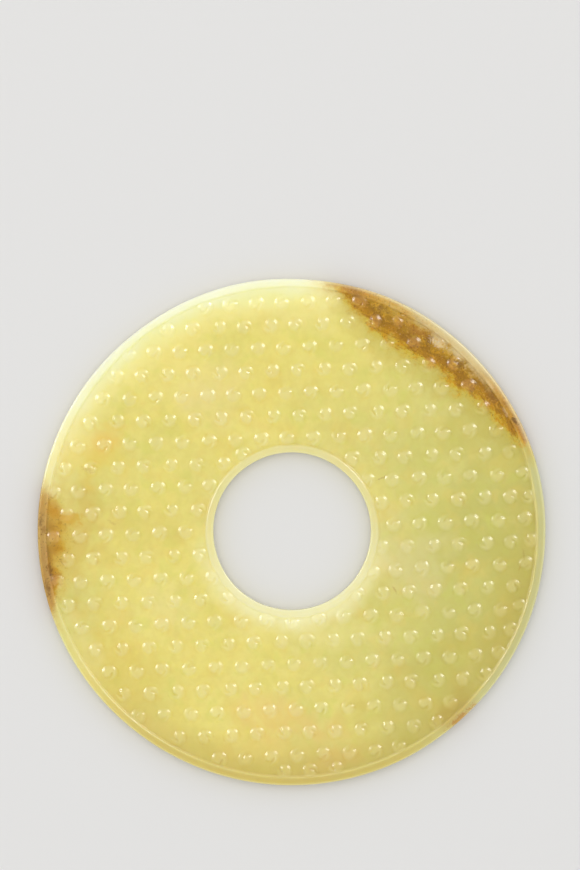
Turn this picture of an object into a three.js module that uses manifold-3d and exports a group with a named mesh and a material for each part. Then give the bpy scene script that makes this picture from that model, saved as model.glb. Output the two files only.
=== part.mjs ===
// A flat carved jade ring disc, lying on its back face.
//
// One piece of stone: a thin round plate with a round hole through its middle. Both
// faces carry the same work. A plain raised rim runs round the outside and another
// round the hole, and the field between them is sunk and filled with slanting rows
// of small raised grain bosses that stand up to just below the rims.
//
// Millimetres, +Z up. The origin is on the underside, on the axis of the outer edge.
import * as THREE from 'three';
import { mergeGeometries, mergeVertices } from 'three/addons/utils/BufferGeometryUtils.js';
import Module from 'manifold-3d';

// ---- driving dimensions ------------------------------------------------------------
const OUTER_DIAMETER = 165;
const HOLE_DIAMETER = 51.1;
const HOLE_SHIFT = [0.15, 0.15];      // the hole is a hair off the middle
const THICKNESS = 5.0;

const FIELD_DEPTH = 0.7;              // how far each face is sunk between its rims
const OUTER_RIM = 2.85;               // width of the raised rims
const INNER_RIM = 2.55;
const STEP_LEAN = 0.2;                // the cut wall of a field leans out by this much
const EDGE_BEVEL = 0.45;              // the broken corners of the outer edge
const HOLE_BEVEL = 0.35;              // and of the hole

const OUTER_SEGMENTS = 80;
const HOLE_SEGMENTS = 40;

const ROW_PITCH = 8.474;              // boss to boss along a row
const ROW_TURN = 2.31;                // degrees, the rows' turn from +X
const SLANT_PITCH = 8.496;            // boss to boss from one row to the next
const SLANT_TURN = 61.99;             // degrees
const BOSS_RADIUS = 2.75;             // at the level of the field
const BOSS_BELOW_RIM = 0.05;
const BOSS_ROOT = 0.35;               // how deep a boss's body runs into the plate
const FRONT_SIDES = 6;
const BACK_SIDES = 5;                 // the back is plainer
const ROW_REACH = 13;                 // rows and columns tried each way

// The last bosses of a row are squeezed in beside a rim: one whose place would fall
// on the rim is moved back to the nearest distance from it, if it has far enough to go.
const NEAREST_OUTER = 1.65;           // from the foot of the outer rim to a boss's centre
const NEAREST_INNER = 1.5;            // from the foot of the hole's rim
const LOST_OUTER = -1.2;              // a place further in the rim than this has no boss
const LOST_INNER = -1.9;

// How far the hand-laid rows wander from a true lattice, in millimetres: a smooth
// cubic in u and v, the place on the disc as a fraction of its radius.
// Order: 1, u, v, uu, uv, vv, uuu, uuv, uvv, vvv.
const WANDER_X = [-0.457, -0.298, 0.013, -0.438, -0.334, -0.097, 0.710, 1.181, -0.081, -0.136];
const WANDER_Y = [0.889, -0.172, -0.039, 0.256, -0.493, -0.117, 0.240, -0.182, 0.568, 0.256];

const OUTER_RADIUS = OUTER_DIAMETER / 2;
const HOLE_RADIUS = HOLE_DIAMETER / 2;
const FIELD_OUTER = OUTER_RADIUS - OUTER_RIM;
const FIELD_INNER = HOLE_RADIUS + INNER_RIM;
const FIELD_TOP = THICKNESS - FIELD_DEPTH;
const FIELD_BOTTOM = FIELD_DEPTH;

// ---- solids from three.js shapes -----------------------------------------------------
const wasm = await Module();
wasm.setup();

function solid(geometry) {
  const g = geometry.index ? geometry.toNonIndexed() : geometry.clone();
  g.deleteAttribute('normal');
  g.deleteAttribute('uv');
  const merged = mergeVertices(g, 1e-4);
  const keep = [];
  for (let i = 0; i < merged.index.count; i += 3) {
    const [a, b, c] = [0, 1, 2].map((k) => merged.index.getX(i + k));
    if (a !== b && b !== c && c !== a) keep.push(a, b, c);
  }
  return new wasm.Manifold(new wasm.Mesh({
    numProp: 3,
    vertProperties: new Float32Array(merged.attributes.position.array),
    triVerts: new Uint32Array(keep),
  }));
}

function geometryOf(manifold) {
  const mesh = manifold.getMesh();
  const g = new THREE.BufferGeometry();
  g.setAttribute('position', new THREE.BufferAttribute(new Float32Array(mesh.vertProperties), 3));
  g.setIndex(new THREE.BufferAttribute(new Uint32Array(mesh.triVerts), 1));
  g.computeVertexNormals();
  return g;
}

// A ring turned about +Z from a closed profile of [radius, height], listed anticlockwise.
function turned(profile, segments) {
  const points = [...profile, profile[0]].map(([r, z]) => new THREE.Vector2(r, z));
  return new THREE.LatheGeometry(points, segments).rotateX(Math.PI / 2);
}

// ---- the plate with its outer rim, and the rim of the hole --------------------------
const HIDDEN = HOLE_RADIUS + INNER_RIM / 2;   // the plate's inner end, inside the hole's rim
const plate = turned([
  [HIDDEN, FIELD_BOTTOM],
  [FIELD_OUTER, FIELD_BOTTOM],
  [FIELD_OUTER + STEP_LEAN, 0],
  [OUTER_RADIUS - EDGE_BEVEL, 0],
  [OUTER_RADIUS, EDGE_BEVEL],
  [OUTER_RADIUS, THICKNESS - EDGE_BEVEL],
  [OUTER_RADIUS - EDGE_BEVEL, THICKNESS],
  [FIELD_OUTER + STEP_LEAN, THICKNESS],
  [FIELD_OUTER, FIELD_TOP],
  [HIDDEN, FIELD_TOP],
], OUTER_SEGMENTS);

const collar = turned([
  [HOLE_RADIUS + HOLE_BEVEL, 0],
  [FIELD_INNER - STEP_LEAN, 0],
  [FIELD_INNER, FIELD_BOTTOM],
  [FIELD_INNER, FIELD_TOP],
  [FIELD_INNER - STEP_LEAN, THICKNESS],
  [HOLE_RADIUS + HOLE_BEVEL, THICKNESS],
  [HOLE_RADIUS, THICKNESS - HOLE_BEVEL],
  [HOLE_RADIUS, HOLE_BEVEL],
], HOLE_SEGMENTS).translate(HOLE_SHIFT[0], HOLE_SHIFT[1], 0);

// ---- the grain bosses ----------------------------------------------------------------
const turn = (length, degrees) => [
  length * Math.cos(THREE.MathUtils.degToRad(degrees)),
  length * Math.sin(THREE.MathUtils.degToRad(degrees)),
];
const ALONG = turn(ROW_PITCH, ROW_TURN);
const ACROSS = turn(SLANT_PITCH, SLANT_TURN);

function wander(coefficients, x, y) {
  const u = x / OUTER_RADIUS;
  const v = y / OUTER_RADIUS;
  const terms = [1, u, v, u * u, u * v, v * v, u ** 3, u * u * v, u * v * v, v ** 3];
  return terms.reduce((sum, term, i) => sum + term * coefficients[i], 0);
}

// The bosses' centres: every lattice place on the field, with the last ones beside
// the rims moved clear of them.
function bossCentres() {
  const centres = [];
  for (let j = -ROW_REACH; j <= ROW_REACH; j++) {
    for (let i = -2 * ROW_REACH; i <= 2 * ROW_REACH; i++) {
      const x0 = i * ALONG[0] + j * ACROSS[0];
      const y0 = i * ALONG[1] + j * ACROSS[1];
      const x = x0 + wander(WANDER_X, x0, y0);
      const y = y0 + wander(WANDER_Y, x0, y0);
      const outer = Math.hypot(x, y);
      const inner = Math.hypot(x - HOLE_SHIFT[0], y - HOLE_SHIFT[1]);
      if (FIELD_OUTER - outer < LOST_OUTER || inner - FIELD_INNER < LOST_INNER) continue;
      const out = Math.min(1, (FIELD_OUTER - NEAREST_OUTER) / outer);
      const back = Math.max(1, (FIELD_INNER + NEAREST_INNER) / inner);
      if (back > 1) centres.push([HOLE_SHIFT[0] + (x - HOLE_SHIFT[0]) * back, HOLE_SHIFT[1] + (y - HOLE_SHIFT[1]) * back]);
      else centres.push([x * out, y * out]);
    }
  }
  return centres;
}

// A boss is a low cone whose root runs into the plate.
function boss(x, y, sides, side) {
  const rise = FIELD_DEPTH - BOSS_BELOW_RIM;
  const height = rise + BOSS_ROOT;
  const g = new THREE.ConeGeometry(BOSS_RADIUS * height / rise, height, sides, 1);
  g.rotateX(side * Math.PI / 2);
  const tip = side > 0 ? THICKNESS - BOSS_BELOW_RIM : BOSS_BELOW_RIM;
  return g.translate(x, y, tip - side * height / 2);
}

const centres = bossCentres();
const fronts = mergeGeometries(centres.map(([x, y]) => boss(x, y, FRONT_SIDES, 1)));
const backs = mergeGeometries(centres.map(([x, y]) => boss(x, y, BACK_SIDES, -1)));

const body = solid(plate).add(solid(collar)).add(solid(fronts)).add(solid(backs));

// ---- the object ----------------------------------------------------------------------
const jade = new THREE.MeshStandardMaterial({
  color: new THREE.Color().setRGB(0.84, 0.78, 0.47, THREE.SRGBColorSpace),
  roughness: 0.22,
  metalness: 0.0,
});
const disc = new THREE.Mesh(geometryOf(body), jade);
disc.name = 'jade_disc';

const object = new THREE.Group();
object.add(disc);
export default object;
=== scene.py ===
# The looks of a flat carved jade ring disc, lying face up on a pale floor.
#
# The disc is one closed mesh. Both faces are height fields over the disc's plan:
# raised rims, a sunk field, and rows of grain bosses, each a small dome with a curled
# groove on the front and a plain dome on the back. Bands round the outer edge and the
# hole close it. The mesh is worked out in millimetres.
import math

import bpy
import numpy as np
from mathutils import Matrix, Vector
from mathutils.geometry import delaunay_2d_cdt


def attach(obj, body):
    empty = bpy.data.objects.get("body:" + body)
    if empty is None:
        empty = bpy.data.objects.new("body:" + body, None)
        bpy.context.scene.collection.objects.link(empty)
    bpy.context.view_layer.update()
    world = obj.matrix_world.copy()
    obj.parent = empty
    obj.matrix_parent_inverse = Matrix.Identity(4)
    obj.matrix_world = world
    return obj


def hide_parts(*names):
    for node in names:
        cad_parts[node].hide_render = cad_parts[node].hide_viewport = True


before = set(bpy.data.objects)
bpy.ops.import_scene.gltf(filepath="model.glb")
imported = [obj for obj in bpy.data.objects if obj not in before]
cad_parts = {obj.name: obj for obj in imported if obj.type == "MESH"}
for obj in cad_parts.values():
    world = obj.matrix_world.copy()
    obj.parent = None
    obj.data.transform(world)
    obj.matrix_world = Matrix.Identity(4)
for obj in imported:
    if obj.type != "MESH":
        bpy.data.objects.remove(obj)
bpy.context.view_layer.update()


# ---- sizes, as in the solid ------------------------------------------------------------
RADIUS = 82.5
HOLE_RADIUS = 25.55
HOLE_X, HOLE_Y = 0.15, 0.15
THICK = 5.0
DEPTH = 0.7
OUTER_RIM, INNER_RIM = 2.85, 2.55
FIELD_OUTER, FIELD_INNER = RADIUS - OUTER_RIM, HOLE_RADIUS + INNER_RIM
FIELD = THICK - DEPTH

ROW_PITCH, ROW_TURN = 8.474, math.radians(2.31)
SLANT_PITCH, SLANT_TURN = 8.496, math.radians(61.99)
BOSS_RADIUS = 2.75
NEAREST_OUTER, NEAREST_INNER = 1.65, 1.5
LOST_OUTER, LOST_INNER = -1.2, -1.9
WANDER_X = np.array([-0.457, -0.298, 0.013, -0.438, -0.334, -0.097, 0.710, 1.181, -0.081, -0.136])
WANDER_Y = np.array([0.889, -0.172, -0.039, 0.256, -0.493, -0.117, 0.240, -0.182, 0.568, 0.256])

rng = np.random.default_rng(20)


# ---- a little unevenness, from sums of slow waves --------------------------------------
WAVES = [(rng.uniform(0, 2 * math.pi), rng.uniform(0.5, 1.0), rng.uniform(0, 2 * math.pi)) for _ in range(14)]


def waves(x, y, length):
    """A smooth uneven surface of about unit height, with features about length across."""
    total = np.zeros_like(x, dtype=float)
    for k, (turn, size, phase) in enumerate(WAVES):
        f = 2 * math.pi / length * (0.6 + 0.9 * k / len(WAVES))
        total += size * np.sin(f * (x * math.cos(turn) + y * math.sin(turn)) + phase)
    return total / 3.2


# (degrees, millimetres out, degrees wide): where the hand-ground outline swells or dips
OUTLINE = [(12, 0.20, 16), (84, -0.34, 12), (126, -0.25, 14), (171, 0.10, 12), (312, -0.20, 12), (232, -0.08, 18)]


def outline(angle):
    r = np.full_like(angle, RADIUS - 0.14)
    for where, much, wide in OUTLINE:
        d = (np.degrees(angle) - where + 180) % 360 - 180
        r += much * np.exp(-(d / wide) ** 2)
    return r


def hole_line(angle):
    return HOLE_RADIUS + 0.035 * np.sin(3 * angle + 1.1) + 0.025 * np.sin(5 * angle + 0.3)


# ---- where the bosses are ----------------------------------------------------------------
def boss_sites():
    """(x, y, kind) of each boss; kind 0-3 says which way its curl is turned."""
    sites = []
    for j in range(-13, 14):
        for i in range(-26, 27):
            x0 = i * ROW_PITCH * math.cos(ROW_TURN) + j * SLANT_PITCH * math.cos(SLANT_TURN)
            y0 = i * ROW_PITCH * math.sin(ROW_TURN) + j * SLANT_PITCH * math.sin(SLANT_TURN)
            u, v = x0 / RADIUS, y0 / RADIUS
            terms = np.array([1, u, v, u * u, u * v, v * v, u**3, u * u * v, u * v * v, v**3])
            x, y = x0 + terms @ WANDER_X, y0 + terms @ WANDER_Y
            outer, inner = math.hypot(x, y), math.hypot(x - HOLE_X, y - HOLE_Y)
            if FIELD_OUTER - outer < LOST_OUTER or inner - FIELD_INNER < LOST_INNER:
                continue
            back = max(1.0, (FIELD_INNER + NEAREST_INNER) / inner)
            out = min(1.0, (FIELD_OUTER - NEAREST_OUTER) / outer)
            if back > 1:
                x, y = HOLE_X + (x - HOLE_X) * back, HOLE_Y + (y - HOLE_Y) * back
            else:
                x, y = x * out, y * out
            pair = j // 2
            sites.append((x, y, 2 * (j - 2 * pair) + (i + pair) % 2))
    return sites


# ---- one boss ----------------------------------------------------------------------------
TURN_OF_KIND = {0: math.pi, 1: 0.0, 2: math.pi / 2, 3: -math.pi / 2}
RISE = 0.65
DOME_POWER, DOME_SOFT = 3.4, 1.53
CURL_FROM, CURL_SWEEP = math.radians(216), math.radians(114)
CURL_OUT, CURL_IN = 2.25, 0.38
GROOVE_WIDTH, GROOVE_DEPTH = 0.40, 0.39
TAIL_LENGTH, TAIL_RISE, TAIL_WIDTH = 1.1, 0.11, 0.32


def curled_boss(x, y, b):
    """Height over the field at (x, y) from the middle of a boss, in its own turn."""
    radius = BOSS_RADIUS * b["size"]
    h = RISE * b["tall"] * np.clip(1 - (np.hypot(x, y) / radius) ** b["power"], 0, None) ** DOME_SOFT
    s = np.linspace(0, 1, 40)
    a = CURL_FROM + s * CURL_SWEEP * b["sweep"]
    r = (CURL_OUT + (CURL_IN - CURL_OUT) * s) * b["size"]
    d2 = (x[:, None] - r * np.cos(a)) ** 2 + (y[:, None] - r * np.sin(a)) ** 2
    along, d2 = s[d2.argmin(1)], d2.min(1)
    fade = (0.5 + 0.5 * np.clip(along / 0.08, 0, 1)) * np.sqrt(np.clip((1 - along) / 0.12, 0, 1))
    w = GROOVE_WIDTH * b["wide"]
    h = h - GROOVE_DEPTH * b["deep"] * np.exp(-d2 / (2 * w * w)) * fade * np.clip(h / RISE * 6, 0, 1)
    # the thin tail that runs off the boss beside the groove's mouth
    tx, ty = radius * math.cos(CURL_FROM - 0.25), radius * math.sin(CURL_FROM - 0.25)
    dx, dy = math.sin(CURL_FROM), -math.cos(CURL_FROM)
    go = (x - tx) * dx + (y - ty) * dy
    side = (y - ty) * dx - (x - tx) * dy
    on = np.clip(go, 0, TAIL_LENGTH)
    away = np.hypot(go - on, side)
    tail = TAIL_RISE * b["tail"] * (1 - on / TAIL_LENGTH) * np.exp(-(away**2) / (2 * TAIL_WIDTH**2))
    return np.maximum(h, tail)


def plain_boss(x, y, b):
    u = np.hypot(x, y) / (BOSS_RADIUS * b["size"])
    return (RISE - 0.02) * b["tall"] * np.clip(1 - u**2.6, 0, None) ** 1.25


def ring_points(radii, counts):
    points = [(0.0, 0.0)]
    for k, (r, n) in enumerate(zip(radii, counts)):
        a = (np.arange(n) + 0.5 * (k % 2)) * 2 * math.pi / n
        points += list(zip(r * np.cos(a), r * np.sin(a)))
    return np.array(points)


FRONT_POINTS = ring_points([0.36, 0.72, 1.06, 1.38, 1.68, 1.96, 2.22, 2.46, 2.70, 3.0],
                           [7, 13, 18, 22, 24, 26, 26, 26, 26, 22])
BACK_POINTS = ring_points([0.9, 1.65, 2.25, 2.8], [7, 11, 13, 13])

# ---- the rims' cross-section ---------------------------------------------------------------
# (distance from the foot of the rim towards its top, height over the field)
OUTER_STEP = [(-0.62, 0.0), (-0.40, -0.02), (-0.22, 0.12), (-0.08, 0.31), (0.06, 0.49), (0.20, 0.60),
              (0.38, 0.66), (0.66, 0.69), (1.05, 0.70)]
INNER_STEP = [(-0.60, 0.0), (-0.36, 0.02), (-0.14, 0.17), (0.02, 0.34), (0.18, 0.49), (0.36, 0.60),
              (0.60, 0.67), (0.95, 0.70)]
PLAIN_STEP = [(-0.30, 0.0), (0.25, DEPTH), (0.9, DEPTH)]


def face(bosses, shape, template, n_out, n_in, outer_step, inner_step, bevel_out, bevel_in, uneven):
    """One face: x, y, height over the field and triangles. The first n_out points are
    the outer boundary, and the next n_in the boundary at the hole."""
    ao = np.arange(n_out) * 2 * math.pi / n_out
    ai = np.arange(n_in) * 2 * math.pi / n_in
    xs, ys, base = [], [], []
    edges = []
    count = 0

    def ring(cx, cy, r, a, height):
        nonlocal count
        xs.append(cx + r * np.cos(a))
        ys.append(cy + r * np.sin(a))
        base.append(np.broadcast_to(height, a.shape).astype(float))
        n = len(a)
        edges.extend((count + k, count + (k + 1) % n) for k in range(n))
        count += n

    def loose(x, y):
        nonlocal count
        xs.append(x)
        ys.append(y)
        base.append(np.zeros(len(x)))
        count += len(x)

    ring(0, 0, outline(ao) - bevel_out, ao, DEPTH)
    ring(HOLE_X, HOLE_Y, hole_line(ai) + bevel_in, ai, DEPTH)
    for k, (d, h) in enumerate(outer_step):
        a = ao + (k % 2) * math.pi / n_out
        ring(0, 0, FIELD_OUTER + d + 0.06 * waves(30 * np.cos(a), 30 * np.sin(a), 17), a, h)
    for k, (d, h) in enumerate(inner_step):
        a = ai + (k % 2) * math.pi / n_in
        ring(HOLE_X, HOLE_Y, FIELD_INNER - d + 0.05 * waves(25 * np.cos(a), 25 * np.sin(a), 21), a, h)
    rings = count
    lo, hi = FIELD_INNER - inner_step[0][0] + 0.12, FIELD_OUTER + outer_step[0][0] - 0.12

    def inside(x, y, margin=0.0):
        return (np.hypot(x, y) < hi - margin) & (np.hypot(x - HOLE_X, y - HOLE_Y) > lo + margin)

    for b in bosses:
        c, s = math.cos(b["turn"]), math.sin(b["turn"])
        px, py = template[:, 0] * b["size"], template[:, 1] * b["size"]
        x, y = b["x"] + c * px - s * py, b["y"] + s * px + c * py
        keep = inside(x, y)
        # where two bosses touch, the points belong to the nearer one
        for o in bosses:
            if o is not b and abs(o["x"] - b["x"]) < 6.2 and abs(o["y"] - b["y"]) < 6.2:
                keep &= np.hypot(x - b["x"], y - b["y"]) < np.hypot(x - o["x"], y - o["y"]) - 0.1
        loose(x[keep], y[keep])
    # the flat between the bosses
    step = 1.7
    j, i = np.mgrid[-57:58, -50:51]
    gx, gy = ((i + 0.5 * (j % 2)) * step).ravel(), (j * step * math.sqrt(3) / 2).ravel()
    keep = inside(gx, gy, 0.6)
    gx, gy = gx[keep], gy[keep]
    bx, by = np.array([b["x"] for b in bosses]), np.array([b["y"] for b in bosses])
    far = np.min(np.hypot(gx[:, None] - bx, gy[:, None] - by), 1) > 3.45
    loose(gx[far], gy[far])

    x, y, h = np.concatenate(xs), np.concatenate(ys), np.concatenate(base)
    h = h + uneven * waves(x, y, 26) * np.where(h < DEPTH * 0.5, 1 - np.clip(h, 0, None) / (DEPTH * 0.5), 0)
    for b in bosses:
        m = np.nonzero((abs(x - b["x"]) < 4.2) & (abs(y - b["y"]) < 4.2))[0]
        c, s = math.cos(b["turn"]), math.sin(b["turn"])
        dx, dy = x[m] - b["x"], y[m] - b["y"]
        lift = shape(c * dx + s * dy, -s * dx + c * dy, b)
        flat = uneven * waves(x[m], y[m], 26)
        h[m] = np.maximum(h[m], np.minimum(lift + flat * np.clip(1 - lift / RISE, 0, 1), DEPTH - 0.02))
    _, _, tris, origin, _, _ = delaunay_2d_cdt([Vector(p) for p in zip(x, y)], edges, [], 0, 1e-6)
    first = np.array([o[0] if o else -1 for o in origin])
    tris = first[np.array(tris)]
    assert (tris >= 0).all()
    ring_of = np.zeros(len(x), int)
    ring_of[:n_out], ring_of[n_out:n_out + n_in] = 1, 2
    kinds = ring_of[tris]
    tris = tris[~((kinds == 1).all(1) | (kinds == 2).all(1))]
    ax, ay = x[tris], y[tris]
    turn = (ax[:, 1] - ax[:, 0]) * (ay[:, 2] - ay[:, 0]) - (ax[:, 2] - ax[:, 0]) * (ay[:, 1] - ay[:, 0])
    tris[turn < 0] = tris[turn < 0][:, ::-1]
    used = np.zeros(len(x), bool)
    used[tris.ravel()] = True
    assert used[:n_out + n_in].all()
    new = np.cumsum(used) - 1
    return x[used], y[used], h[used], new[tris]


def make_disc():
    front, back = [], []
    for x, y, kind in boss_sites():
        tall = min(1.02, 0.97 + rng.normal(0, 0.04))
        front.append(dict(x=x + rng.normal(0, 0.13), y=y + rng.normal(0, 0.11),
                          turn=TURN_OF_KIND[kind] + rng.normal(0, 0.15), size=1 + rng.normal(0, 0.025), tall=tall,
                          power=DOME_POWER * (1 + rng.normal(0, 0.08)), sweep=1 + rng.normal(0, 0.1),
                          wide=1 + rng.normal(0, 0.12), deep=float(np.clip(1 + rng.normal(0, 0.22), 0.4, 1.4)),
                          tail=max(0.0, 1 + rng.normal(0, 0.4))))
        back.append(dict(x=x + rng.normal(0, 0.15), y=y + rng.normal(0, 0.15), turn=rng.uniform(0, 1),
                         size=1 + rng.normal(0, 0.02), tall=min(1.0, 0.96 + rng.normal(0, 0.04))))
    n_out, n_in = 400, 160
    fo, fi, zo, zi = 0.75, 0.60, 0.85, 0.65      # the rounded corners of the front
    bo, bi = 0.45, 0.38                          # and of the back
    x, y, h, tris = face(front, curled_boss, FRONT_POINTS, n_out, n_in, OUTER_STEP, INNER_STEP, fo, fi, 0.022)
    verts, faces = [np.stack([x, y, FIELD + h], 1)], [tris]
    x, y, h, tris = face(back, plain_boss, BACK_POINTS, n_out, n_in, PLAIN_STEP, PLAIN_STEP, bo, bi, 0.015)
    second = len(verts[0])
    verts.append(np.stack([x, y, DEPTH - h], 1))
    faces.append(tris[:, ::-1] + second)
    count = second + len(x)
    bands = [(n_out, 0, 0, outline, -1, fo, zo, bo, 0), (n_in, HOLE_X, HOLE_Y, hole_line, 1, fi, zi, bi, n_out)]
    for n, cx, cy, line, side, f, zf, b, at in bands:
        a = np.arange(n) * 2 * math.pi / n
        steps = [(f * (1 - math.sin(t)), THICK - zf * (1 - math.cos(t))) for t in np.radians([16, 33, 51, 70])]
        steps += [(0.02, THICK - zf), (0.0, THICK * 0.45), (0.02, b)]
        steps += [(b * (1 - math.sin(t)), b * (1 - math.cos(t))) for t in np.radians([60, 30])]
        rows = [at + np.arange(n)]
        for d, z in steps:
            r = line(a) + side * d
            verts.append(np.stack([cx + r * np.cos(a), cy + r * np.sin(a), np.full(n, z)], 1))
            rows.append(count + np.arange(n))
            count += n
        rows.append(second + at + np.arange(n))
        for up, down in zip(rows, rows[1:]):
            up2, down2 = np.roll(up, -1), np.roll(down, -1)
            for t in (np.stack([up, down, up2], 1), np.stack([up2, down, down2], 1)):
                faces.append(t if side < 0 else t[:, ::-1])
    return np.concatenate(verts), np.concatenate(faces)


verts, faces = make_disc()
mesh = bpy.data.meshes.new("carved_jade_disc")
mesh.from_pydata((verts * 0.001).tolist(), [], faces.tolist())
mesh.validate()
mesh.update()
mesh.polygons.foreach_set("use_smooth", [True] * len(mesh.polygons))
disc = bpy.data.objects.new("carved_jade_disc", mesh)
bpy.context.scene.collection.objects.link(disc)
print("triangles", len(mesh.polygons), "vertices", len(mesh.vertices))
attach(disc, "root")
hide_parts("jade_disc")


# ---- material --------------------------------------------------------------------------------
def srgb(r, g, b):
    def lin(c):
        c /= 255
        return c / 12.92 if c <= 0.04045 else ((c + 0.055) / 1.055) ** 2.4
    return (lin(r), lin(g), lin(b), 1.0)


class Nodes:
    """Short names for the shader nodes that the stone is made of."""

    def __init__(self, tree):
        self.tree = tree

    def add(self, kind, **settings):
        n = self.tree.nodes.new(kind)
        for key, value in settings.items():
            setattr(n, key, value)
        return n

    def put(self, socket, value):
        if isinstance(value, bpy.types.NodeSocket):
            self.tree.links.new(value, socket)
        elif value is not None:
            socket.default_value = value

    def math(self, op, a, b=None, c=None, clamp=False):
        n = self.add("ShaderNodeMath", operation=op, use_clamp=clamp)
        for socket, value in zip(n.inputs, (a, b, c)):
            self.put(socket, value)
        return n.outputs[0]

    def span(self, value, lo, hi, to_lo=0.0, to_hi=1.0, kind="SMOOTHSTEP"):
        n = self.add("ShaderNodeMapRange", interpolation_type=kind)
        for k, v in enumerate((value, lo, hi, to_lo, to_hi)):
            self.put(n.inputs[k], v)
        return n.outputs[0]

    def mix(self, factor, a, b, blend="MIX"):
        n = self.add("ShaderNodeMix", data_type="RGBA", blend_type=blend)
        self.put(n.inputs[0], factor)
        self.put(n.inputs[6], a)
        self.put(n.inputs[7], b)
        return n.outputs[2]

    def noise(self, vector, scale, detail=2.0, rough=0.5, distortion=0.0, w=None):
        n = self.add("ShaderNodeTexNoise", noise_dimensions="4D" if w is not None else "3D")
        self.put(n.inputs["Vector"], vector)
        if w is not None:
            self.put(n.inputs["W"], w)
        self.put(n.inputs["Scale"], scale)
        self.put(n.inputs["Detail"], detail)
        self.put(n.inputs["Roughness"], rough)
        self.put(n.inputs["Distortion"], distortion)
        return n.outputs["Fac"]

    def ramp(self, factor, stops, kind="LINEAR"):
        n = self.add("ShaderNodeValToRGB")
        n.color_ramp.interpolation = kind
        e = n.color_ramp.elements
        while len(e) < len(stops):
            e.new(0.5)
        for k, (at, colour) in enumerate(stops):
            e[k].position = at
            e[k].color = colour
        self.put(n.inputs[0], factor)
        return n.outputs[0]

    def curve(self, value, points):
        n = self.add("ShaderNodeFloatCurve")
        c = n.mapping.curves[0]
        for k, (at, to) in enumerate(points):
            if k < 2:
                c.points[k].location = (at, to)
            else:
                c.points.new(at, to)
        n.mapping.update()
        self.put(n.inputs["Factor"], 1.0)
        self.put(n.inputs["Value"], value)
        return n.outputs[0]


material = bpy.data.materials.new("jade")
material.use_nodes = True
tree = material.node_tree
tree.nodes.clear()
N = Nodes(tree)
out = N.add("ShaderNodeOutputMaterial")
stone = N.add("ShaderNodeBsdfPrincipled")
tree.links.new(stone.outputs[0], out.inputs[0])
coords = N.add("ShaderNodeTexCoord").outputs["Object"]
mm = N.add("ShaderNodeVectorMath", operation="SCALE")
N.put(mm.inputs[0], coords)
N.put(mm.inputs["Scale"], 1000.0)
P = mm.outputs[0]
xyz = N.add("ShaderNodeSeparateXYZ")
N.put(xyz.inputs[0], P)
X, Y, Z = xyz.outputs
R = N.math("SQRT", N.math("ADD", N.math("MULTIPLY", X, X), N.math("MULTIPLY", Y, Y)))

# ---- the clear stone: honey yellow, turning olive towards the right, with a painted falloff of light that makes it brighter at the top and left
broad = N.noise(P, 0.030, 2.0, 0.5, 0.2)
cloud = N.noise(P, 0.075, 2.0, 0.55, 0.4, w=3.1)
fine = N.noise(P, 0.42, 2.0, 0.6, 0.0, w=7.4)
U = N.math("MULTIPLY", X, 1 / RADIUS)
V = N.math("MULTIPLY", Y, 1 / RADIUS)
tone_and_light_falloff = N.math("ADD", N.math("MULTIPLY", U, 0.25), N.math("MULTIPLY", N.math("MULTIPLY", U, U), 0.38))
tone_and_light_falloff = N.math("SUBTRACT", tone_and_light_falloff, N.math("MULTIPLY", V, 0.04))
tone_and_light_falloff = N.math("ADD", N.math("ADD", tone_and_light_falloff, 0.34), N.span(broad, 0.3, 0.7, -0.10, 0.10, "LINEAR"), clamp=True)
colour = N.ramp(tone_and_light_falloff, [(0.0, srgb(244, 232, 152)), (0.3, srgb(235, 222, 129)), (0.5, srgb(221, 213, 129)),
                        (0.7, srgb(210, 204, 119)), (1.0, srgb(194, 188, 96))])
# greener and warmer drifts, and milky clouds
colour = N.mix(N.span(cloud, 0.52, 0.70, 0.0, 0.26), colour, srgb(208, 204, 96))
colour = N.mix(N.span(cloud, 0.48, 0.32, 0.0, 0.28), colour, srgb(228, 202, 100))
milk = N.noise(P, 0.055, 3.0, 0.55, 0.5, w=11.0)
colour = N.mix(N.span(milk, 0.54, 0.74, 0.0, 0.32), colour, srgb(238, 226, 150))
colour = N.mix(N.span(fine, 0.35, 0.65, 0.10, 0.0), colour, srgb(196, 172, 80))
# smaller mottling, green against warm
mottle = N.noise(P, 0.17, 2.0, 0.55, 0.3, w=14.0)
colour = N.mix(N.span(mottle, 0.51, 0.68, 0.0, 0.20), colour, srgb(208, 214, 100))
colour = N.mix(N.span(mottle, 0.48, 0.32, 0.0, 0.16), colour, srgb(240, 210, 118))


T = N.math("DEGREES", N.math("ARCTAN2", Y, X))
wide = N.span(N.noise(P, 0.11, 2.0, 0.55, 0.4, w=1.7), 0.3, 0.7, -1.0, 1.0, "LINEAR")
rough = N.span(N.noise(P, 0.40, 3.0, 0.65, 0.5, w=5.3), 0.3, 0.7, -1.0, 1.0, "LINEAR")
grain = N.noise(P, 1.4, 2.0, 0.7, 0.0, w=9.9)


def spot(x, y, rx, ry, turn=0.0, warp=0.4):
    """A soft uneven patch round (x, y) mm: 1 in the middle, 0 outside."""
    c, s = math.cos(math.radians(turn)), math.sin(math.radians(turn))
    dx, dy = N.math("SUBTRACT", X, x), N.math("SUBTRACT", Y, y)
    a = N.math("MULTIPLY", N.math("ADD", N.math("MULTIPLY", dx, c), N.math("MULTIPLY", dy, s)), 1 / rx)
    b = N.math("MULTIPLY", N.math("ADD", N.math("MULTIPLY", dx, -s), N.math("MULTIPLY", dy, c)), 1 / ry)
    d = N.math("SQRT", N.math("ADD", N.math("MULTIPLY", a, a), N.math("MULTIPLY", b, b)))
    if min(rx, ry) > 4:
        d = N.math("ADD", d, N.math("MULTIPLY", wide, warp))
    else:
        d = N.math("ADD", d, N.math("MULTIPLY", rough, warp))
        if min(rx, ry) < 2.5:
            d = N.math("ADD", d, N.math("MULTIPLY", N.math("SUBTRACT", grain, 0.5), 2.6))
    return N.span(d, 1.1, 0.25)


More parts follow.
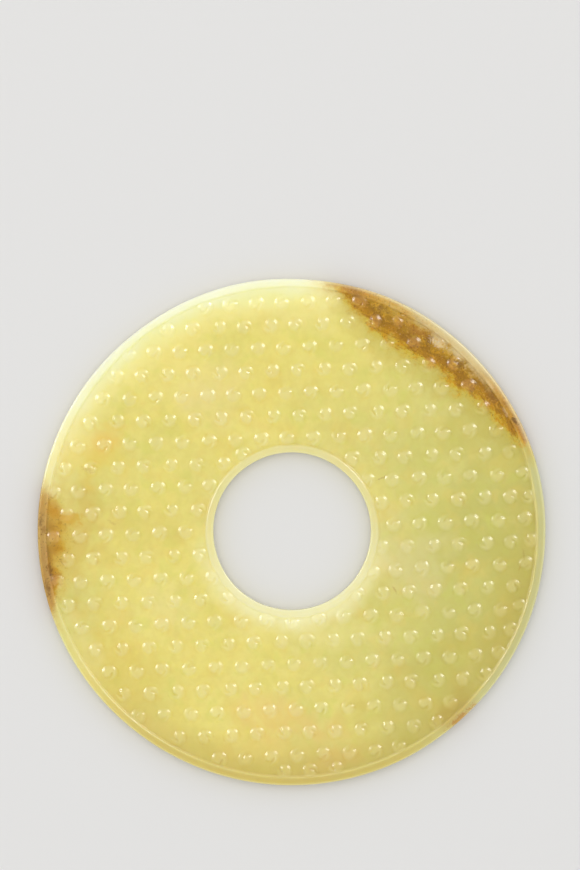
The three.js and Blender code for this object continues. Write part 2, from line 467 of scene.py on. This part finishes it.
def tint(colour, mask, strength, to):
    return N.mix(N.math("MULTIPLY", mask, strength), colour, to)


# faint peach patches and paler clouds in their places; the pale patches along the upper and upper left edge and just
# under the hole are painted glow, light showing through the thin stone
for x, y, rx, ry, turn, strength, to in [
        (-62, 29, 9, 6, 20, 0.45, (234, 196, 116)), (-3, -61, 20, 8, -15, 0.40, (238, 206, 130)),
        (14, -74, 12, 5, 10, 0.45, (230, 192, 118)), (-25, 50, 14, 9, 30, 0.35, (240, 222, 150)),
        (-40, 66, 16, 6, 38, 0.45, (247, 240, 176)), (-8, 76, 26, 6, 4, 0.55, (248, 242, 178)),
        (45, 6, 14, 9, 60, 0.25, (205, 207, 108)), (2, -33, 22, 6, 0, 0.38, (244, 234, 164)),
        (58, 32, 15, 12, 40, 0.50, (204, 193, 98)), (70, -20, 9, 26, 0, 0.30, (200, 188, 96)),
        (-20, 8, 10, 8, 0, 0.25, (220, 214, 112)), (-58, -28, 12, 9, -50, 0.3, (230, 206, 112)),
        (-69, -1, 13, 24, 0, 0.50, (214, 182, 84)), (-63, 26, 14, 11, 20, 0.35, (240, 210, 90)),
        (-52, -46, 24, 12, -42, 0.35, (224, 200, 96)), (0, -72, 34, 12, 0, 0.36, (228, 200, 114)),
        (40, -52, 26, 16, 45, 0.34, (196, 180, 82)), (8, 60, 34, 14, 5, 0.16, (242, 228, 126)), (-46, 1, 16, 12, 0, 0.28, (214, 197, 104)),
        (40, -9, 13, 19, 0, 0.32, (228, 216, 166)), (-37, 58, 15, 9, 32, 0.30, (250, 230, 142)),
        (-40, -67, 17, 5, -30, 0.48, (240, 217, 134)), (-23, 40, 13, 11, 0, 0.22, (232, 216, 158)),
        (-40, -23, 13, 11, 0, 0.24, (234, 221, 160)), (2, 69, 17, 6, 0, 0.22, (240, 230, 164)),
        (60, -36, 9, 14, -30, 0.24, (204, 182, 84)), (-67, -38, 5, 14, 30, 0.34, (240, 227, 154))]:
    colour = tint(colour, spot(x, y, rx, ry, turn, 0.45), strength, srgb(*to))

# the raised work is a little milky, and so are the thin rims
height = N.math("ABSOLUTE", N.math("SUBTRACT", Z, THICK / 2))
raised = N.span(height, 1.85, 2.35)
colour = tint(colour, raised, 0.30, srgb(218, 208, 162))
rim_out = N.span(R, 79.7, 80.6)
rim_in = N.span(R, 28.4, 27.4)
# light comes through round the hole, most of all below it
near = N.span(N.math("ADD", R, N.math("MULTIPLY", wide, 1.0)), 35.2, 27.2)
below = N.span(N.math("COSINE", N.math("RADIANS", N.math("SUBTRACT", T, -88.0))), -0.3, 0.95, 0.06, 0.85)
colour = tint(colour, N.math("MULTIPLY", near, below), 1.0, srgb(249, 243, 194))
colour = tint(colour, rim_in, 0.40, srgb(220, 214, 172))
# painted light and shade: the thin edge is painted bright towards the upper left, as lit through the stone, and
# painted dull, a painted shade, towards the lower right
toward = N.math("COSINE", N.math("RADIANS", N.math("SUBTRACT", T, 114.0)))
edge = N.span(N.math("ADD", R, N.math("MULTIPLY", wide, 1.5)), 67.0, 80.5)
painted_lit_side = N.span(toward, 0.35, 1.0)
colour = tint(colour, N.math("MULTIPLY", edge, painted_lit_side), 0.88, srgb(255, 242, 168))
colour = tint(colour, N.math("MULTIPLY", edge, N.span(toward, 0.1, -0.8)), 0.55, srgb(196, 177, 86))
right = N.math("MULTIPLY", N.span(T, -66.0, -42.0), N.span(T, 26.0, 10.0))
colour = tint(colour, N.math("MULTIPLY", rim_out, right), 0.58, srgb(194, 196, 152))
# painted shade: the outer rim is painted darker and browner along the bottom
painted_shade_low = N.math("MULTIPLY", N.span(T, -48.0, -72.0), N.span(T, -150.0, -120.0))
colour = tint(colour, N.math("MULTIPLY", rim_out, painted_shade_low), 0.40, srgb(197, 177, 96))
# more painted glow on the edge towards the upper left
colour = tint(colour, N.math("MULTIPLY", N.span(N.math("ADD", R, wide), 75.0, 82.6), painted_lit_side), 0.85, srgb(255, 248, 218))
# painted highlight: a pale line round the foot of the outer rim, where its wall catches the light
painted_foot_line = N.span(N.math("ABSOLUTE", N.math("SUBTRACT", R, 79.5)), 0.60, 0.15)
colour = tint(colour, painted_foot_line, 0.26, srgb(248, 240, 176))
# painted glow: the outermost edge is painted paler all round, as light showing through the thin edge
colour = tint(colour, N.span(R, 81.5, 82.3), 0.22, srgb(236, 232, 200))

# ---- the russet skin at the upper right ---------------------------------------------------
WARM_FROM, WARM_TO = 14.0, 90.0
place = N.math("DIVIDE", N.math("SUBTRACT", N.math("ADD", T, N.math("MULTIPLY", wide, 1.2)), WARM_FROM), WARM_TO - WARM_FROM, clamp=True)
inner = N.curve(place, [((t - WARM_FROM) / (WARM_TO - WARM_FROM), (r - 66) / 20) for t, r in [
    (14, 85.5), (20, 80.5), (26, 76.4), (34, 73.2), (44, 70.3), (56, 69.0), (63, 69.0), (69, 71.0), (75, 75.0),
    (80, 79.8), (90, 86.0)]])
inner = N.math("ADD", N.math("MULTIPLY", inner, 20.0), 66.0)
deep = N.math("ADD", N.math("SUBTRACT", R, inner), N.math("ADD", N.math("MULTIPLY", wide, 1.5), N.math("MULTIPLY", rough, 1.5)))
there = N.math("MULTIPLY", N.span(T, 12.0, 19.0), N.span(T, 90.0, 76.0))
colour = tint(colour, N.math("MULTIPLY", N.span(deep, -10.0, -0.5), there), 0.50, srgb(198, 178, 74))
cover = N.math("MULTIPLY", N.span(deep, -3.0, 2.2), there)
# fine streaks that run along the band
run = N.add("ShaderNodeCombineXYZ")
N.put(run.inputs[0], N.math("MULTIPLY", T, 0.30))
N.put(run.inputs[1], N.math("MULTIPLY", R, 0.85))
N.put(run.inputs[2], N.math("MULTIPLY", Z, 0.5))
streak = N.span(N.noise(run.outputs[0], 0.9, 3.0, 0.62, 0.6), 0.32, 0.68, -1.0, 1.0, "LINEAR")
skin = N.ramp(N.math("DIVIDE", N.math("ADD", deep, N.math("MULTIPLY", streak, 1.3)), 14.0, clamp=True), [
    (0.0, srgb(212, 186, 52)), (0.09, srgb(204, 164, 22)), (0.20, srgb(182, 132, 0)), (0.36, srgb(160, 114, 0)),
    (0.50, srgb(188, 145, 20)), (0.66, srgb(202, 162, 48)), (0.84, srgb(210, 184, 98)), (1.0, srgb(216, 206, 150))])
# amber lights and brown shadows in it
skin = tint(skin, N.span(rough, 0.0, 0.9), 0.65, srgb(218, 164, 16))
skin = tint(skin, N.span(wide, 0.1, -0.9), 0.50, srgb(188, 136, 10))
skin = tint(skin, N.span(streak, 0.15, 1.0), 0.38, srgb(144, 98, 0))
skin = tint(skin, N.span(grain, 0.56, 0.72), 0.40, srgb(220, 182, 100))
skin = tint(skin, N.span(grain, 0.45, 0.30), 0.60, srgb(104, 68, 0))
skin = tint(skin, raised, 0.18, srgb(210, 168, 120))
# towards the edge the skin gives way to pale bleached stone, and at the very edge to a painted glow of light through
# the thin stone
bleach = N.math("MULTIPLY", N.span(N.math("ADD", R, N.math("MULTIPLY", rough, 1.7)), 76.9, 80.3),
                N.math("MULTIPLY", N.span(T, 31, 44), N.span(T, 65, 51)))
skin = tint(skin, bleach, 0.72, srgb(217, 202, 156))
skin = tint(skin, N.span(R, 80.6, 82.2), 0.50, srgb(222, 211, 176))
colour = N.mix(cover, colour, skin)

# ---- the smaller stain at the left edge ------------------------------------------------------
left = N.math("ABSOLUTE", T)
up = N.math("MULTIPLY", N.span(Y, -1.0, 1.0), 1.0)
turn_left = N.math("SUBTRACT", 180.0, left)                 # degrees from the -X axis
signed = N.math("MULTIPLY", turn_left, N.math("SIGN", Y))     # upward positive
LOW, HIGH = -24.0, 16.0
place = N.math("DIVIDE", N.math("SUBTRACT", N.math("ADD", signed, N.math("MULTIPLY", wide, 1.0)), LOW), HIGH - LOW, clamp=True)
inner = N.curve(place, [((t - LOW) / (HIGH - LOW), (r - 66) / 20) for t, r in [
    (-24, 85.5), (-18, 81.0), (-14, 77.2), (-9, 74.2), (-3, 72.2), (1, 72.6), (6, 76.2), (9, 79.6), (12, 83.4), (16, 86.0)]])
inner = N.math("ADD", N.math("MULTIPLY", inner, 20.0), 66.0)
deep_left = N.math("ADD", N.math("SUBTRACT", R, inner), N.math("ADD", N.math("MULTIPLY", wide, 1.8), N.math("MULTIPLY", rough, 1.3)))
stain = N.ramp(N.math("DIVIDE", N.math("ADD", deep_left, 1.0), 10.0, clamp=True), [
    (0.0, srgb(218, 192, 84)), (0.30, srgb(206, 160, 20)), (0.52, srgb(190, 136, 0)), (0.76, srgb(174, 128, 20)),
    (1.0, srgb(177, 135, 52))])
stain = tint(stain, N.span(rough, 0.1, 1.0), 0.60, srgb(176, 120, 0))
stain = tint(stain, N.span(wide, 0.2, -0.9), 0.50, srgb(214, 186, 92))
stain = tint(stain, raised, 0.25, srgb(214, 172, 132))
stain = tint(stain, rim_out, 0.50, srgb(177, 142, 68))
stain = tint(stain, N.span(grain, 0.44, 0.30), 0.55, srgb(104, 70, 16))
there = N.math("MULTIPLY", N.span(signed, -27.0, -19.0), N.span(signed, 15.0, 10.0))
there = N.math("MULTIPLY", there, N.span(X, -55.0, -62.0))
colour = N.mix(N.math("MULTIPLY", N.math("MULTIPLY", N.span(deep_left, -4.5, 3.6), 0.94), there), colour, stain)

# and the faint one at the lower right
colour = tint(colour, spot(53.0, -58.0, 13.0, 5.0, 42, 0.4), 0.50, srgb(192, 164, 74))
colour = tint(colour, spot(55.3, -60.0, 6.0, 1.3, 43, 0.4), 0.60, srgb(178, 118, 40))

# ---- specks and veins, and painted glints along the rim's foot ----------------------------------
for x, y, rx, ry, turn, strength, to in [
        (-81.4, 3.2, 2.6, 0.8, 80, 0.50, (110, 76, 26)), (-80.2, 0.6, 1.6, 1.2, 60, 0.45, (136, 92, 22)),
        (-78.2, -12.4, 1.2, 2.4, 20, 0.50, (116, 74, 10)), (-79.2, -18.6, 1.0, 3.2, 18, 0.45, (108, 68, 12)),
        (-76.6, 7.0, 2.6, 5.0, 10, 0.45, (200, 138, 0)), (-71.5, 4.2, 5.0, 2.6, 0, 0.55, (214, 164, 30)),
        (28.9, 72.8, 2.0, 1.2, -30, 0.55, (140, 96, 34)), (44.8, 62.4, 3.4, 1.6, -25, 0.60, (126, 84, 22)),
        (54.4, 54.6, 3.2, 1.8, -40, 0.60, (128, 84, 14)), (72.0, 36.4, 1.8, 0.7, -50, 0.60, (98, 70, 34)),
        (41.0, 64.8, 4.2, 1.8, -32, 0.40, (162, 96, 34)), (65.0, 42.6, 3.2, 1.7, -50, 0.45, (150, 98, 22)),
        (29.0, 17.3, 2.2, 0.35, 25, 0.40, (176, 138, 70)), (75.5, -8.4, 0.35, 3.0, 8, 0.35, (178, 150, 74)),
        (33.6, -19.0, 0.4, 2.0, 30, 0.35, (176, 140, 72)), (-66.4, 20.2, 2.6, 0.9, -20, 0.30, (190, 156, 70)),
        # painted glints: these pale streaks along the foot of the outer rim in the russet band stand for reflections
        # on the rim's wall
        (47.5, 61.0, 3.4, 1.5, -38, 0.55, (238, 222, 176)), (64.6, 47.6, 2.6, 0.6, -53, 0.50, (232, 208, 158)),
        (69.4, 38.8, 2.8, 0.6, -60, 0.50, (228, 198, 140)), (54.0, 57.5, 2.6, 1.1, -44, 0.40, (228, 208, 160)),
        (-58.4, 3.0, 1.6, 0.5, -30, 0.25, (186, 152, 70)), (74.0, -12.0, 0.3, 2.2, -12, 0.30, (186, 140, 70))]:
    colour = tint(colour, spot(x, y, rx, ry, turn, 0.45), strength, srgb(*to))

N.put(stone.inputs["Base Color"], colour)
polish = N.span(N.noise(P, 0.25, 2.0, 0.6), 0.3, 0.7, 0.13, 0.21, "LINEAR")
worn = N.math("ADD", polish, N.math("MULTIPLY", N.span(grain, 0.35, 0.7), 0.05))
N.put(stone.inputs["Roughness"], N.math("ADD", worn, N.math("MULTIPLY", N.math("MULTIPLY", cover, rim_out), 0.08)))
N.put(stone.inputs["IOR"], 1.6)
N.put(stone.inputs["Specular IOR Level"], 0.26)
N.put(stone.inputs["Subsurface Weight"], 1.0)
N.put(stone.inputs["Subsurface Radius"], (1.0, 0.96, 0.75))
N.put(stone.inputs["Subsurface Scale"], 0.0038)
bump = N.add("ShaderNodeBump")
N.put(bump.inputs["Strength"], 0.25)
N.put(bump.inputs["Distance"], 0.00008)
pits = N.noise(P, 0.75, 3.0, 0.6)
N.put(bump.inputs["Height"], pits)
N.put(stone.inputs["Normal"], bump.outputs[0])
mesh.materials.append(material)

# ---- floor, light and camera -------------------------------------------------------------------
floor_mesh = bpy.data.meshes.new("floor")
S = 4.0
floor_mesh.from_pydata([(-S, -S, -0.0002), (S, -S, -0.0002), (S, S, -0.0002), (-S, S, -0.0002)], [], [(0, 1, 2, 3)])
floor = bpy.data.objects.new("floor", floor_mesh)
bpy.context.scene.collection.objects.link(floor)
pale = bpy.data.materials.new("pale_floor")
pale.use_nodes = True
ground = pale.node_tree.nodes["Principled BSDF"]
ground.inputs["Base Color"].default_value = (0.72, 0.71, 0.69, 1)
ground.inputs["Roughness"].default_value = 0.9
floor_mesh.materials.append(pale)


def soft_light(name, azimuth, off_zenith, distance, size, watts, colour, diffuse=True, glossy=True):
    a, t = math.radians(azimuth), math.radians(off_zenith)
    at = Vector((math.cos(a) * math.sin(t), math.sin(a) * math.sin(t), math.cos(t))) * distance
    data = bpy.data.lights.new(name, "AREA")
    data.shape, data.size, data.energy, data.color = "SQUARE", size, watts, colour
    lamp = bpy.data.objects.new(name, data)
    lamp.location = at
    lamp.rotation_euler = (-at).to_track_quat("-Z", "Y").to_euler()
    lamp.visible_camera = False
    lamp.visible_diffuse, lamp.visible_glossy = diffuse, glossy
    bpy.context.scene.collection.objects.link(lamp)


# Two small lights give the crisp glints, a larger one round each the soft gleam beside
# them, and a broad one overhead the shading.
soft_light("left_glint", 157.4, 52, 1.0, 0.34, 5.2, (1.0, 0.98, 0.96), diffuse=False)
soft_light("right_glint", 43.0, 49.5, 1.0, 0.34, 4.9, (1.0, 0.98, 0.96), diffuse=False)
soft_light("left_gleam", 157.4, 52, 1.05, 0.64, 2.6, (0.98, 0.98, 1.0), diffuse=False)
soft_light("right_gleam", 43.0, 49.5, 1.05, 0.64, 2.6, (0.98, 0.98, 1.0), diffuse=False)
soft_light("broad_light", 122.0, 8, 1.6, 1.2, 5.5, (1.0, 0.985, 0.96), glossy=False)

world = bpy.data.worlds.new("studio")
bpy.context.scene.world = world
world.use_nodes = True
world.node_tree.nodes["Background"].inputs[0].default_value = (0.955, 0.965, 0.985, 1)
world.node_tree.nodes["Background"].inputs[1].default_value = 0.90

camera_data = bpy.data.cameras.new("camera")
camera_data.sensor_width = 36.0
camera_data.sensor_height = 36.0
camera_data.sensor_fit = "AUTO"
camera_data.lens = 36.0 * 2.0 / 0.28225
camera_data.clip_end = 100.0
camera = bpy.data.objects.new("camera", camera_data)
camera.location = (-0.000487, 0.03137, 2.005)
bpy.context.scene.collection.objects.link(camera)
bpy.context.scene.camera = camera
bpy.context.scene.view_settings.view_transform = "Standard"
